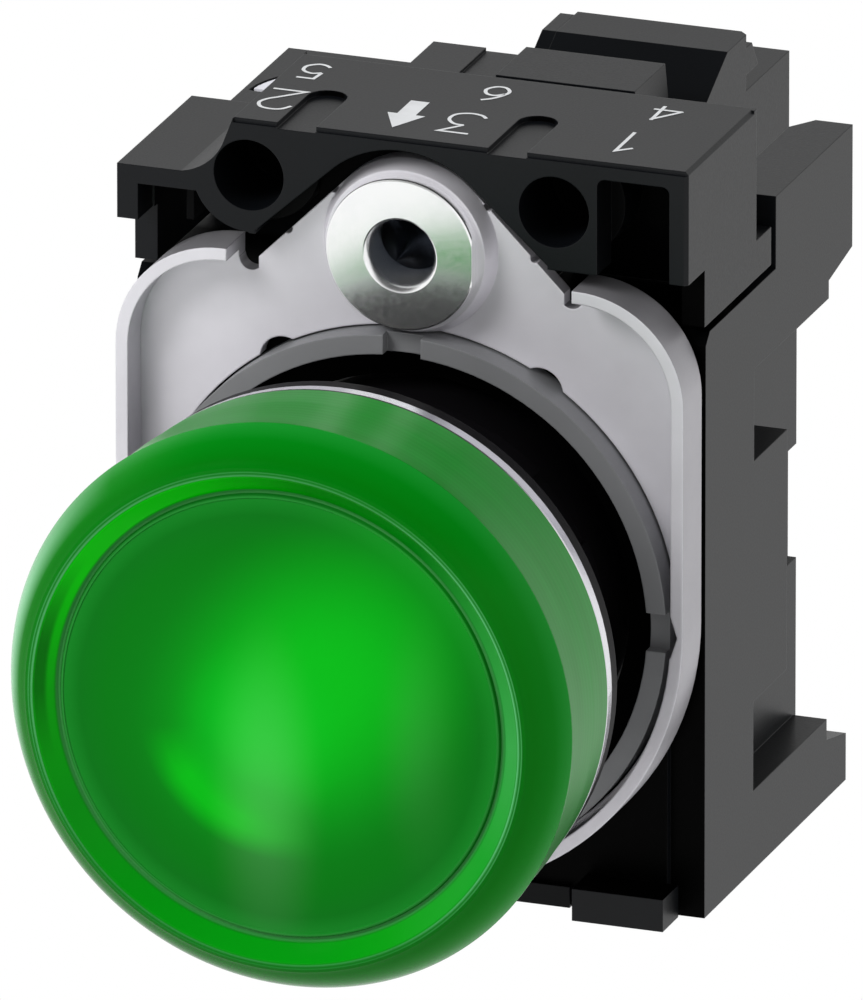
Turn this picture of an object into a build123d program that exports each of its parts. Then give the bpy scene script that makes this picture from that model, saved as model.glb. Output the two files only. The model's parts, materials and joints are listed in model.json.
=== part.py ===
"""Panel pilot light for a 22.3 mm hole: lit head, clamping holder and one snap-in lamp module.

Frame: origin where the light axis meets the panel's front face, +X right seen from the front,
+Y into the panel, +Z up. All sizes are in millimetres.
"""

import math
import os

from build123d import *

# Head, measured from the panel face: a minus Y is in front of the panel
shaft_r = 11.0
shaft_land_end = 6.9
shaft_neck_r = 10.7
shaft_end = 13.9
shaft_bore_r = 8.6
shaft_chamfer = 0.5
shaft_flat_depth = 0.2
shaft_flat_angle = 22.0
shaft_flat_count = 3
shaft_flat_start = 43.0
clip_groove_r = 10.1
collar_r = 14.11
collar_depth = 1.0
collar_edge = 0.15
gasket_depth = 0.9
gasket_inner_r = 11.15
gasket_outer_r = 13.7
gasket_root_r = 10.75
spigot_r = 12.9
spigot_front = -5.6
trim_depth = 1.0
trim_front_r = 14.27
trim_back_r = 14.15
trim_edge = 0.12
seal_side = 0.8
seal_squeeze = 0.03
seal_centre_y = -3.6

# Lens: a moulded cap with a raised ridge round its window
lens_fit = 0.1
lens_back_r = 14.27
lens_step_y = -4.4
lens_step_r = 14.42
lens_max_r = 14.74
lens_max_y = -8.61
lens_ridge_r = 12.73
lens_ridge_y = -10.83
lens_ridge_round = 0.35
lens_window_r = 11.6
lens_window_y = -10.0
lens_window_rise = 0.45
lens_wall = 1.3
dome_band_count = 2

# Light spreader behind the lens
spreader_rim = 1.7
spreader_wall = 0.7
spreader_rise = 1.2
spreader_dome_r = 11.2

# Holder as a whole
holder_half_w = 15.0
plate_half_w = holder_half_w - 0.03
plate_open_r = plate_half_w - 0.92
holder_bottom = -15.9
body_front = 9.8
body_rear = 28.9
body_half_w = holder_half_w - 1.8
body_wall = 1.5
body_top = 14.94
front_wall = 2.0
shaft_gap = 0.5
bay_half_w = 5.05
divider = 1.2
divider_rear = 27.0
ledge_front = 9.4
ledge_h = 1.1
ledge_fit = 0.1
tab_front = 7.5
tab_x1 = holder_half_w - 1.2
tab_x0 = tab_x1 - 4.8
ledge_half_w = tab_x0 - 0.8
tab_top = -14.1
tab_bottom = -15.8

# Outer layer of the holder's sides, seen from the side as Y and Z
pad_front = 10.3
pad_rear = 17.5
pad_chamfer = 0.6
band_bottom = 10.7
mid_front = 16.56
mid_rear = 22.45
mid_top = 5.85
mid_bottom = -6.9
foot_top = -11.65
foot_step_y = 28.5
foot_step_z = -12.78
foot_rear = 31.4
foot_rear_z = -13.4
side_notch_y = 25.5
side_notch_top = 2.68
side_notch_bottom = -3.37

# Rear towers: a narrow one on the right, a wide one with a pocket on the left
tower_left_inner = holder_half_w - 6.8
tower_right_inner = holder_half_w - 2.9
tower_front = 20.65
tower_rear = 32.1
tower_right_top = 18.75
tower_left_top = 19.2
tower_slant_x = 0.95
tower_slant_y = 1.45
tower_under = 12.3
tower_under_y = 28.6
tower_under_z = 11.65
pocket_x = -(holder_half_w - 4.8)
pocket_y = 25.4
pocket_r = 4.5
pocket_end_x = -(holder_half_w - 6.2)
pocket_depth = 2.6
pocket_notch = 0.5

# Bridge beside the lamp module, on the left only
bridge_x0 = -(tower_left_inner + 0.3)
bridge_step_x = -5.7
bridge_x1 = -3.85
bridge_front = 27.0
bridge_rear = 35.5
bridge_top = 19.2
bridge_step = 0.17
bridge_thick = 1.3

# Clamping screw, tilted up to the rear so that a driver passes over the module
screw_z = plate_open_r + 4.25
screw_tilt = 7.0
bush_face = 7.5
bush_flange_r = 3.96
bush_flange_t = 0.5
bush_flat_x = 3.76
bush_crown = 0.4
bush_mouth_r = 1.98
bush_mouth_depth = 0.7
bush_r = 3.0
bush_length = 4.0
bush_hole_end = 12.3
bush_fit = 0.02
thread_r = 1.65
thread_fit = 0.05
screw_tip = 1.0
screw_cone = 2.7
screw_cone_waist = 0.55
screw_travel = 5.5
screw_head_r = 2.3
screw_head_len = 2.2
screw_slot_w = 0.8
screw_slot_depth = 1.2
keeper_side = 4.7
keeper_t = 1.0
keeper_gap = 0.1
keeper_clear = 0.5
channel_side = 5.3
channel_start = 3.6
neck_half_w = 5.2
neck_top = screw_z + 4.8
neck_rear = 20.5
neck_slack = 0.1

# Clamp plate: a shallow pan whose rim faces the panel
plate_rim_front = 7.07
plate_rim_t = 0.65
plate_floor = 8.9
plate_top = screw_z - 0.7
plate_corner_r = 5.6
plate_back_round = 0.5
plate_inner_round = 0.35
rim_end_x = 9.1
notch_x = 8.45
notch_z = screw_z - 1.7
notch_r = 0.62
crown_base_x = 8.05
crown_base_z = screw_z - 1.57
crown_r = 4.6
crown_nick_r = 0.26
crown_nicks = ((6.52, 0.1), (4.08, 2.54))
boss_face = 8.0
boss_face_r = 4.2
boss_foot_r = 4.6
lobe_x = 6.75
lobe_z = plate_open_r - 2.63
lobe_r = 1.25
dent_h = 2.2
dent_depth = 0.35

# Notched ring round the shaft
ring_front = 7.5
ring_outer_r = plate_open_r - 0.1
ring_inner_r = ring_outer_r - 1.02
ring_notch_w = 2.0
ring_notch_depth = 0.6
ring_notch_count = 4

# Spring clip that holds the shaft
clip_t = 0.8
clip_inner_r = 10.2
clip_outer_r = 11.9
clip_mouth = 100.0
clip_slack = 0.1

# Cover over the holder's front and top
cover_front = 7.42
cover_rear = 17.6
cover_top = screw_z + 6.1
cover_left_x = -(holder_half_w - 6.13)
cover_wall = 1.2
cover_front_wall = 2.1
cover_right_x = holder_half_w + 0.05
cover_skirt_front = 9.97
cover_skirt_z = screw_z + 0.15
cover_bottom = body_top + 0.51
tongue_rear = 19.8
tongue_top = cover_skirt_z - 1.0
wing_top = screw_z + 3.0
wing_end_x = -(holder_half_w - 3.4)
wing_curve_x = cover_left_x - 0.6
wing_curve_z = screw_z + 4.55
wing_under = wing_top - 0.95
pocket_left_x0 = -(holder_half_w - 1.1)
pocket_left_x1 = -(holder_half_w - 4.25)
hole_x = holder_half_w - 6.96
hole_z = screw_z + 3.2
hole_r = 1.85
hole_depth = 5.0
hole_boss_r = 3.0
hole_boss_end = 14.0
diag_low_x = 7.7
diag_low_z = screw_z + 0.33
cover_arc_r = 5.45
window_x1 = cover_right_x - 0.95
window_x0 = window_x1 - 3.8
window_top = cover_top - 0.9
window_round = 0.4
rear_rib_t = 1.6
post_x = 11.6
post_z = screw_z + 2.4
post_r = 1.15
post_front = 12.0
slot_x = 5.55
slot_half_w = 1.03
slot_centre_y = 11.9
slot_depth = 0.28
lip_drop = 0.22
lip_depth = 0.15
cover_edge = 0.18
cover_edge_end = 0.35
wing_rear = 18.1
wing_sag_x = 0.14
wing_sag_z = 0.28
pocket_rib_x1 = -(holder_half_w - 3.3)
pocket_rib_x0 = pocket_rib_x1 - 0.4
pocket_rib_rear = 13.0
pocket_rib_drop = 0.45

# Leaf spring in the left tower's pocket
leaf_t = 0.3
leaf_fit = 0.1
leaf_leg = 2.0
leaf_drop = 0.25

# Lamp module
module_half_w = 4.95
module_front = 14.6
module_wall = 1.0
module_low_front = 31.4
module_bay_top = 13.2
module_bay_bottom = -14.2
module_rear = 51.0
module_top = 15.2
module_bottom = -12.4
crest_top = 18.2
crest_front = 41.7
crest_rear = 44.9
crest_foot_y = 36.0
crest_back_y = 46.2
crest_back_z = 16.2
crest_corner = 0.4
crest_corner_z = 17.5
crest_cover_short = 0.5
crest_notch_front = 44.5
crest_notch_top = 16.05
crest_notch_depth = 1.2
lug_half_w = 3.7
lug_front = 31.4
lug_rear = 35.9
lug_foot_y = 36.45
lug_foot_z = 17.0
lug_top = 19.35
module_centre_z = (module_top + module_bottom) / 2
side_cover_t = 0.75
board_t = 1.0
board_front = 19.5
board_rear = 33.5
board_top = 8.8
board_bottom = -6.0
board_x = 0.9

# Terminals, mirrored about the middle of the module
chamber_half_w = 3.3
chamber_front = 35.1
chamber_rear = 44.2
chamber_depth = 8.6
mouth_front = 36.5
mouth_rear = 38.1
terminal_drop = 4.4
terminal_screw_r = 1.45
terminal_fit = 0.05
terminal_head_r = 2.1
terminal_head_len = 2.0
terminal_tip = 32.7
terminal_hole_r = 2.45
terminal_travel = 2.5
terminal_slot_w = 0.7
terminal_slot_depth = 0.9
bar_front = 35.2
bar_t = 1.2
bar_half_w = 2.9
bar_up = 3.0
bar_down = 3.8
tail_t = 0.5
tail_h = 1.6
tail_front = 31.9
tail_fit = 0.1
saddle_t = 1.0
saddle_half_w = 2.9
saddle_half_h = 2.5
saddle_lip = 0.6
saddle_y = 40.5
saddle_gap = 0.1

# Lamp on the module's nose
nose_r = 4.3
nose_front = 13.4
lamp_r = 2.5
lamp_flange_r = 2.9
lamp_flange_t = 1.0
lamp_length = 6.4
lamp_base_y = 13.4
lamp_nose_bands = 3

# Small parts on the board
resistor_size = (1.6, 3.2, 0.6)
resistor_step = 2.6
resistor_count = 4
resistor_y = 21.5
resistor_z = 4.5
capacitor_r = 1.6
capacitor_len = 2.2
rectifier_size = (1.5, 3.8, 4.6)


def box(x0, x1, y0, y1, z0, z1):
    """A block between two values on each axis."""
    middle = ((x0 + x1) / 2, (y0 + y1) / 2, (z0 + z1) / 2)
    return Pos(*middle) * Box(abs(x1 - x0), abs(y1 - y0), abs(z1 - z0))


def turned(points):
    """A solid of revolution about the light axis from (radius, y) points."""
    return revolve(make_face(Polyline(*points, close=True)), axis=Axis.Y)


def face_xz(shape, y0, y1):
    """Extrude a sketch drawn as (x, z) from y0 to y1."""
    return extrude(Plane.XZ.offset(-y1) * shape, amount=y1 - y0)


def face_yz(shape, x0, x1):
    """Extrude a sketch drawn as (y, z) from x0 to x1."""
    return extrude(Plane.YZ.offset(x0) * shape, amount=x1 - x0)


def outline(points):
    """A flat face from corner points."""
    return make_face(Polyline(*points, close=True))


def dome_bands(radius, rise, rim_y):
    """Points of a shallow dome as conical bands, from its rim to its crown, as (radius, y)."""
    ball = (radius * radius + rise * rise) / (2 * rise)
    points = []
    for index in range(dome_band_count, -1, -1):
        out = radius * index / dome_band_count
        points.append((out, rim_y - rise + ball - math.sqrt(ball * ball - out * out)))
    return points


def mirrored(shape):
    """The shape and its mirror image across the YZ plane."""
    return shape + mirror(shape, about=Plane.YZ)


def rod(radius, y0, y1, x=0.0, z=0.0):
    """A round bar along Y."""
    return face_xz(Pos(x, z) * Circle(radius), y0, y1)


def on_screw_axis(shape):
    """Carry a shape drawn along +Y from the origin onto the tilted clamping screw's axis."""
    return Pos(0, bush_face, screw_z) * Rot(screw_tilt, 0, 0) * shape


def along_screw(shape, u0, u1):
    """Extrude a sketch along the clamping screw's axis between two distances from the bush face."""
    return on_screw_axis(face_xz(shape, u0, u1))


def make_lens():
    """Moulded cap: drafted wall, wide front bevel, raised ridge and a shallow domed window."""
    inner_r = spigot_r + lens_fit
    back = -collar_depth - trim_depth
    inside = lens_window_y + lens_wall
    wall = [
        (inner_r, back),
        (lens_back_r, back),
        (lens_step_r, lens_step_y),
        (lens_max_r, lens_max_y),
        (lens_ridge_r + lens_ridge_round, lens_ridge_y + lens_ridge_round),
        (lens_ridge_r, lens_ridge_y),
    ]
    window = dome_bands(lens_window_r, lens_window_rise, lens_window_y)
    ceiling = [(0, inside), (lens_window_r, inside), (inner_r, inside + lens_wall)]
    return turned(wall + window + ceiling)


def make_light_spreader():
    """A translucent dome with a deep rim that rests on the head's spigot."""
    front = spigot_front - spreader_rim
    inner_r = spreader_dome_r - spreader_wall
    inner_front = front + spreader_wall
    dome = dome_bands(spreader_dome_r, spreader_rise, front)
    dome.reverse()
    rim = [(spigot_r, front), (spigot_r, spigot_front), (inner_r, spigot_front), (inner_r, inner_front)]
    return turned(dome + rim + [(0, inner_front)])


def make_lens_seal():
    """Square-section seal between the spigot's groove and the lens."""
    outer_r = spigot_r + lens_fit - seal_squeeze
    y0 = seal_centre_y - seal_side / 2
    return turned(
        [
            (outer_r - seal_side, y0),
            (outer_r, y0),
            (outer_r, y0 + seal_side),
            (outer_r - seal_side, y0 + seal_side),
        ]
    )


def make_trim_ring():
    back = -collar_depth
    front = back - trim_depth
    return turned(
        [
            (spigot_r, front),
            (trim_front_r - trim_edge, front),
            (trim_front_r, front + trim_edge),
            (trim_back_r, back),
            (spigot_r, back),
        ]
    )


def make_front_collar():
    """Collar, spigot and threaded shaft in one moulding, with a bore for the light."""
    groove_y0 = body_front + front_wall
    groove_y1 = groove_y0 + clip_t + 2 * clip_slack
    groove_half = seal_side / 2 + 2 * seal_squeeze
    groove_floor = spigot_r + lens_fit - seal_side - 2 * seal_squeeze
    head = turned(
        [
            (shaft_bore_r, spigot_front),
            (spigot_r, spigot_front),
            (spigot_r, seal_centre_y - groove_half),
            (groove_floor, seal_centre_y - groove_half),
            (groove_floor, seal_centre_y + groove_half),
            (spigot_r, seal_centre_y + groove_half),
            (spigot_r, -collar_depth),
            (collar_r, -collar_depth),
            (collar_r, -collar_edge),
            (collar_r - collar_edge, 0),
            (gasket_outer_r, 0),
            (gasket_outer_r, -gasket_depth),
            (gasket_root_r, -gasket_depth),
            (gasket_root_r, 0),
            (shaft_r, 0),
            (shaft_r, shaft_land_end),
            (shaft_neck_r, shaft_land_end),
            (shaft_neck_r, groove_y0),
            (clip_groove_r, groove_y0),
            (clip_groove_r, groove_y1),
            (shaft_neck_r, groove_y1),
            (shaft_neck_r, shaft_end - shaft_chamfer),
            (shaft_neck_r - shaft_chamfer, shaft_end),
            (shaft_bore_r, shaft_end),
        ]
    )
    # shallow flats that key the shaft, clear of the collar
    reach = shaft_r + 1
    half = math.radians(shaft_flat_angle / 2)
    wedge = outline([(0, 0), (reach, -reach * math.tan(half)), (reach, reach * math.tan(half))])
    arc_band = (Circle(reach) - Circle(shaft_r - shaft_flat_depth)) & wedge
    for index in range(shaft_flat_count):
        turn = 90 - shaft_flat_start - shaft_flat_angle / 2 + index * 360 / shaft_flat_count
        head -= face_xz(Rot(0, 0, turn) * arc_band, collar_depth * 0.6, shaft_land_end)
    return head


def make_panel_gasket():
    return turned(
        [
            (gasket_inner_r, -gasket_depth),
            (gasket_outer_r, -gasket_depth),
            (gasket_outer_r, 0),
            (gasket_inner_r, 0),
        ]
    )


def make_locking_ring():
    ring = rod(ring_outer_r, ring_front, body_front) - rod(ring_inner_r, ring_front, body_front)
    for index in range(ring_notch_count):
        slot = box(
            -ring_notch_w / 2,
            ring_notch_w / 2,
            ring_front,
            ring_front + ring_notch_depth,
            ring_inner_r - 1,
            ring_outer_r + 1,
        )
        ring -= Rot(0, index * 360 / ring_notch_count, 0) * slot
    return ring


def make_retaining_clip():
    """A flat spring clip, open at the bottom, that snaps into the shaft's groove."""
    y0 = body_front + front_wall + clip_slack / 2
    flat = Circle(clip_outer_r) - Circle(clip_inner_r)
    half = math.radians(clip_mouth / 2)
    reach = clip_outer_r * 1.6
    mouth = outline([(0, 0), (-reach * math.sin(half), -reach), (reach * math.sin(half), -reach)])
    return face_xz(flat - mouth, y0, y0 + clip_t)


def plate_outline():
    """The pan's outline before its upper edge is cut."""
    slab = Pos(0, plate_top / 2) * Rectangle(2 * plate_half_w, plate_top)
    corners = slab.vertices().group_by(Axis.Y)[-1]
    return fillet(corners, plate_corner_r) + Circle(plate_half_w)


def make_clamp_plate():
    full = plate_outline()
    inner = offset(full, amount=-plate_rim_t, kind=Kind.INTERSECTION)
    above = 2 * plate_top
    cut = Pos(0, notch_z + above / 2) * Rectangle(2 * rim_end_x, above)
    for side in (-1, 1):
        cut += Pos(side * notch_x, notch_z) * Circle(notch_r)
    tangent = crown_r * math.sin(math.radians(45))
    crown = outline(
        [
            (-crown_base_x, lobe_z + lobe_r + 1),
            (crown_base_x, lobe_z + lobe_r + 1),
            (crown_base_x, crown_base_z),
            (tangent, screw_z + tangent),
            (-tangent, screw_z + tangent),
            (-crown_base_x, crown_base_z),
        ]
    )
    crown += Pos(0, screw_z) * Circle(crown_r)
    for side in (-1, 1):
        for nick_x, nick_up in crown_nicks:
            crown -= Pos(side * nick_x, screw_z + nick_up) * Circle(crown_nick_r)
    opening = Circle(plate_open_r)
    for side in (-1, 1):
        opening += Pos(side * lobe_x, lobe_z) * Circle(lobe_r)
    floor = (full - cut) + crown - opening
    rim = full - inner - cut
    plate = face_xz(floor, plate_floor, body_front)
    plate += face_xz(rim, plate_rim_front, plate_floor)
    boss = Pos(0, plate_floor, screw_z) * Rot(90, 0, 0) * Cone(
        boss_foot_r, boss_face_r, plate_floor - boss_face, align=(Align.CENTER, Align.CENTER, Align.MIN)
    )
    plate += boss - face_xz(opening, boss_face - 1, plate_floor)
    plate -= rod(bush_r + bush_fit, boss_face - 1, body_front + 1, 0, screw_z)
    dent = outline(
        [
            (plate_half_w - plate_rim_t - 1, -dent_h / 2),
            (plate_half_w - plate_rim_t, -dent_h / 2),
            (plate_half_w - plate_rim_t + dent_depth, 0),
            (plate_half_w - plate_rim_t, dent_h / 2),
            (plate_half_w - plate_rim_t - 1, dent_h / 2),
        ]
    )
    plate -= mirrored(face_xz(dent, plate_rim_front - 1, plate_floor))
    return plate


def make_clamp_bush():
    """Flanged threaded bush with a shallow cone face, one flat and a countersunk mouth."""
    crown_y = -bush_crown
    bore_r = thread_r + thread_fit
    blank = turned(
        [
            (0, crown_y + bush_mouth_depth),
            (bush_mouth_r - bush_mouth_depth, crown_y + bush_mouth_depth),
            (bush_mouth_r, crown_y),
            (bush_flange_r - 0.1, 0),
            (bush_flange_r, 0.1),
            (bush_flange_r, bush_flange_t),
            (bush_r, bush_flange_t),
            (bush_r, bush_length),
            (0, bush_length),
        ]
    )
    bush = Pos(0, bush_face, screw_z) * blank
    reach = 2 * bush_flange_r
    bush -= box(
        bush_flat_x, reach, bush_face - 1, bush_face + bush_flange_t, screw_z - reach, screw_z + reach
    )
    return bush - along_screw(Circle(bore_r), -2, bush_length + 2)


def screw_stations():
    """Distances along the clamping screw's axis: keeper front, keeper rear, head front, head rear."""
    keeper_front = bush_length + keeper_clear + screw_travel
    keeper_rear = keeper_front + keeper_t
    head_front = keeper_rear + keeper_gap
    return keeper_front, keeper_rear, head_front, head_front + screw_head_len


def make_clamp_screw():
    """Pointed screw with hollow-ground flanks on its tip and a slotted head."""
    head_front, head_rear = screw_stations()[2:]
    with BuildPart() as blank:
        with BuildSketch(Plane.XY):
            with BuildLine():
                flank = ThreePointArc(
                    (0, -screw_tip),
                    (screw_cone_waist, -screw_tip + screw_cone * 0.55),
                    (thread_r, -screw_tip + screw_cone),
                )
                Polyline(
                    flank @ 1,
                    (thread_r, head_front),
                    (screw_head_r, head_front),
                    (screw_head_r, head_rear),
                    (0, head_rear),
                    (0, -screw_tip),
                )
            make_face()
        revolve(axis=Axis.Y)
    slot = box(
        -screw_head_r, screw_head_r, head_rear - screw_slot_depth, head_rear, -screw_slot_w / 2, screw_slot_w / 2
    )
    return on_screw_axis(blank.part - slot)


def make_screw_keeper():
    """Square keeper that travels with the screw and can't turn in its channel."""
    keeper_front, keeper_rear = screw_stations()[:2]
    flat = fillet(Rectangle(keeper_side, keeper_side).vertices(), 0.4) - Circle(thread_r + thread_fit)
    return along_screw(flat, keeper_front, keeper_rear)


def cover_face():
    """The cover's outline seen from the front."""
    with BuildSketch() as face:
        with BuildLine():
            wing = ThreePointArc(
                (wing_end_x, wing_top),
                ((wing_end_x + wing_curve_x) / 2 + wing_sag_x, (wing_top + wing_curve_z) / 2 - wing_sag_z),
                (wing_curve_x, wing_curve_z),
            )
            Polyline(
                wing @ 1,
                (cover_left_x, cover_top),
                (cover_right_x, cover_top),
                (cover_right_x, cover_skirt_z),
                (-holder_half_w, cover_skirt_z),
                (-holder_half_w, wing_top),
                (wing_end_x, wing_top),
            )
        make_face()
    return face.sketch


def cover_front_cuts():
    """Openings in the cover's front wall: screw arch, left pocket and right window."""
    low = cover_skirt_z - 1
    arch = outline(
        [
            (-diag_low_x, low),
            (diag_low_x, low),
            (diag_low_x, diag_low_z),
            (cover_arc_r * math.sin(math.radians(45)), screw_z + cover_arc_r * math.cos(math.radians(45))),
            (-cover_arc_r * math.sin(math.radians(45)), screw_z + cover_arc_r * math.cos(math.radians(45))),
            (-diag_low_x, diag_low_z),
        ]
    )
    arch += Pos(0, screw_z) * Circle(cover_arc_r)
    left = outline(
        [
            (pocket_left_x0, low),
            (-hole_x, low),
            (-hole_x, wing_under - 1),
            (pocket_left_x1, wing_under),
            (pocket_left_x0, wing_under),
        ]
    ) - Pos(-hole_x, hole_z) * Circle(hole_boss_r)
    right = Pos((window_x0 + window_x1) / 2, (low + window_top) / 2) * Rectangle(
        window_x1 - window_x0, window_top - low
    )
    right = fillet(right.vertices().group_by(Axis.Y)[-1], window_round)
    return arch + left + right


def make_holder_cover():
    """Thin-walled cover: front wall, top, two skirts with tongues, bosses and a rear rib."""
    face = cover_face()
    inner = offset(face, amount=-cover_wall, kind=Kind.INTERSECTION)
    hollow = inner + Pos(0, cover_skirt_z) * Rectangle(2 * (holder_half_w - cover_wall), 2 * cover_wall)
    cover = face_xz(face, cover_front, cover_rear)
    cover -= face_xz(hollow, cover_front + cover_front_wall, cover_rear)
    for side in (-1, 1):
        boss = rod(hole_boss_r, cover_front, hole_boss_end, side * hole_x, hole_z)
        cover += boss & face_xz(face, cover_front, cover_rear)
    rib = face_xz(inner, cover_rear - rear_rib_t, cover_rear)
    for x0, x1 in ((neck_half_w + neck_slack, holder_half_w), (-holder_half_w, -neck_half_w - neck_slack)):
        cover += rib & box(x0, x1, 0, cover_rear, cover_skirt_z, cover_top)
    cover += rod(post_r, post_front, cover_rear - rear_rib_t, post_x, post_z)
    wing = box(-holder_half_w, cover_left_x, cover_rear, wing_rear, cover_skirt_z, cover_top)
    cover += face_xz(face - hollow, cover_rear, wing_rear) & wing
    cover += box(
        pocket_rib_x0,
        pocket_rib_x1,
        cover_front + cover_front_wall,
        pocket_rib_rear,
        cover_skirt_z - pocket_rib_drop,
        wing_top - cover_wall,
    )
    cover -= face_xz(cover_front_cuts(), cover_front - 1, cover_front + cover_front_wall)
    neck_x = neck_half_w + neck_slack
    cover -= box(-neck_x, neck_x, body_front - neck_slack, cover_rear, 0, neck_top + neck_slack)
    for side in (-1, 1):
        cover -= rod(hole_r, cover_front, cover_front + hole_depth, side * hole_x, hole_z)
    skirt = outline(
        [
            (cover_skirt_front, cover_skirt_z + 0.5),
            (cover_skirt_front, cover_bottom),
            (tongue_rear, cover_bottom),
            (tongue_rear, tongue_top),
            (cover_rear, tongue_top),
            (cover_rear, cover_skirt_z + 0.5),
        ]
    )
    cover += face_yz(skirt, cover_right_x - cover_wall, cover_right_x)
    cover += face_yz(skirt, -holder_half_w, -holder_half_w + cover_wall)
    for side in (-1, 1):
        groove = Pos(side * slot_x, slot_centre_y / 2) * Rectangle(2 * slot_half_w, slot_centre_y)
        groove += Pos(side * slot_x, slot_centre_y) * Circle(slot_half_w)
        cover -= extrude(Plane.XY.offset(cover_top - slot_depth) * groove, amount=slot_depth + 1)
    cover -= box(
        cover_left_x, cover_right_x, cover_front, cover_front + lip_depth, cover_top - lip_drop, cover_top
    )
    top_edge = outline(
        [
            (cover_right_x - cover_edge, cover_top),
            (cover_right_x, cover_top - cover_edge),
            (cover_right_x + 1, cover_top - cover_edge),
            (cover_right_x + 1, cover_top + 1),
            (cover_right_x - cover_edge, cover_top + 1),
        ]
    )
    cover -= face_xz(top_edge, cover_front - 1, cover_rear - cover_edge_end)
    front_edge = outline(
        [
            (cover_right_x - cover_edge, cover_front),
            (cover_right_x, cover_front + cover_edge),
            (cover_right_x + 1, cover_front + cover_edge),
            (cover_right_x + 1, cover_front - 1),
            (cover_right_x - cover_edge, cover_front - 1),
        ]
    )
    return cover - extrude(Plane.XY.offset(cover_skirt_z - 1) * front_edge, amount=cover_top)


def side_layer(tower_top):
    """The raised layer on the holder's side, seen from the side as (y, z)."""
    pad = outline(
        [
            (pad_front, holder_bottom),
            (pad_rear, holder_bottom),
            (pad_rear, body_top),
            (pad_front + pad_chamfer, body_top),
            (pad_front, body_top - pad_chamfer),
        ]
    )
    band = outline(
        [
            (pad_rear - 1, band_bottom),
            (tower_under_y, band_bottom),
            (tower_under_y, tower_under_z),
            (tower_rear, tower_under),
            (tower_rear, tower_top),
            (tower_front, tower_top),
            (tower_front, body_top),
            (pad_rear - 1, body_top),
        ]
    )
    middle = Pos((mid_front + mid_rear) / 2, (mid_top + mid_bottom) / 2) * Rectangle(
        mid_rear - mid_front, mid_top - mid_bottom
    )
    foot = outline(
        [
            (pad_front, holder_bottom),
            (foot_rear, holder_bottom),
            (foot_rear, foot_rear_z),
            (foot_step_y, foot_step_z),
            (foot_step_y, foot_top),
            (pad_rear - 1, foot_top),
            (pad_front, foot_top),
        ]
    )
    return pad + band + middle + foot


def tower(x0, x1, top):
    """The part of a rear tower between the side layer and the module bay."""
    block = box(x0, x1, tower_front, tower_rear, body_top - body_wall, top)
    return block - box(x0, x1, body_rear, tower_rear, 0, body_top)


def tower_slant():
    """What the right tower's inner rear corner loses."""
    corner = outline(
        [
            (tower_right_inner - 1, tower_rear + 1),
            (tower_right_inner - 1, tower_rear - tower_slant_y),
            (tower_right_inner, tower_rear - tower_slant_y),
            (tower_right_inner + tower_slant_x, tower_rear),
            (tower_right_inner + tower_slant_x, tower_rear + 1),
        ]
    )
    return extrude(Plane.XY.offset(tower_under_z) * corner, amount=tower_right_top)


def pocket_shape(radius):
    """The left tower's half-round pocket, seen from above."""
    window = Pos((pocket_x - pocket_r + pocket_end_x) / 2, pocket_y + pocket_r / 2) * Rectangle(
        pocket_end_x - pocket_x + pocket_r, pocket_r
    )
    return Pos(pocket_x, pocket_y) * Circle(radius) & window


def make_holder_body():
    """Frame with three module bays open to the rear, side layers, towers and the screw's neck."""
    half = body_half_w
    body = box(-half, half, body_front, body_rear, holder_bottom, body_top)
    body -= box(
        -half + body_wall,
        half - body_wall,
        body_front + front_wall,
        body_rear,
        holder_bottom + body_wall,
        body_top - body_wall,
    )
    for side in (-1, 1):
        x0 = side * bay_half_w
        x1 = side * (bay_half_w + divider)
        body += box(x0, x1, body_front, divider_rear, holder_bottom, body_top)
    body -= rod(shaft_neck_r + shaft_gap, body_front, body_front + front_wall)
    body -= rod(clip_outer_r + clip_slack, body_front + front_wall, shaft_end + 0.4)
    body -= box(
        -half,
        half,
        side_notch_y,
        body_rear,
        side_notch_bottom,
        side_notch_top,
    )
    ledge = box(-ledge_half_w, ledge_half_w, ledge_front, body_front, holder_bottom, holder_bottom + ledge_h)
    body += ledge - rod(plate_half_w + ledge_fit, ledge_front, body_front)
    body += mirrored(box(tab_x0, tab_x1, tab_front, body_front, tab_bottom, tab_top))
    body += face_yz(side_layer(tower_right_top), half, holder_half_w)
    body += face_yz(side_layer(tower_left_top), -holder_half_w, -half)
    body += tower(tower_right_inner, half, tower_right_top)
    body += tower(-half, -tower_left_inner, tower_left_top)
    body -= tower_slant()
    body -= extrude(
        Plane.XY.offset(tower_left_top - pocket_depth) * pocket_shape(pocket_r), amount=pocket_depth
    )
    body += box(-neck_half_w, neck_half_w, body_front, neck_rear, body_top, neck_top)
    body -= rod(bush_r + bush_fit, body_front - 1, bush_hole_end, 0, screw_z)
    body -= along_screw(Rectangle(channel_side, channel_side), channel_start, 2 * neck_rear)
    body += box(bridge_x0, bridge_x1, bridge_front, bridge_rear, bridge_top - bridge_thick, bridge_top)
    body -= box(
        bridge_step_x, bridge_x1, bridge_front, bridge_rear, bridge_top - bridge_step, bridge_top
    )
    return body


def make_latch_spring():
    """A flat leaf in the left tower's pocket, with a leg down to the pocket's floor."""
    top = tower_left_top - leaf_drop
    clear = box(
        pocket_x - pocket_r, pocket_end_x, pocket_y, pocket_y + pocket_notch, 0, tower_left_top
    )
    leaf = extrude(Plane.XY.offset(top - leaf_t) * pocket_shape(pocket_r - leaf_fit), amount=leaf_t)
    leg = box(
        pocket_x - leaf_leg / 2,
        pocket_x + leaf_leg / 2,
        pocket_y + pocket_notch,
        pocket_y + pocket_notch + leaf_t,
        tower_left_top - pocket_depth,
        top - leaf_t,
    )
    return leaf - clear + leg


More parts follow.
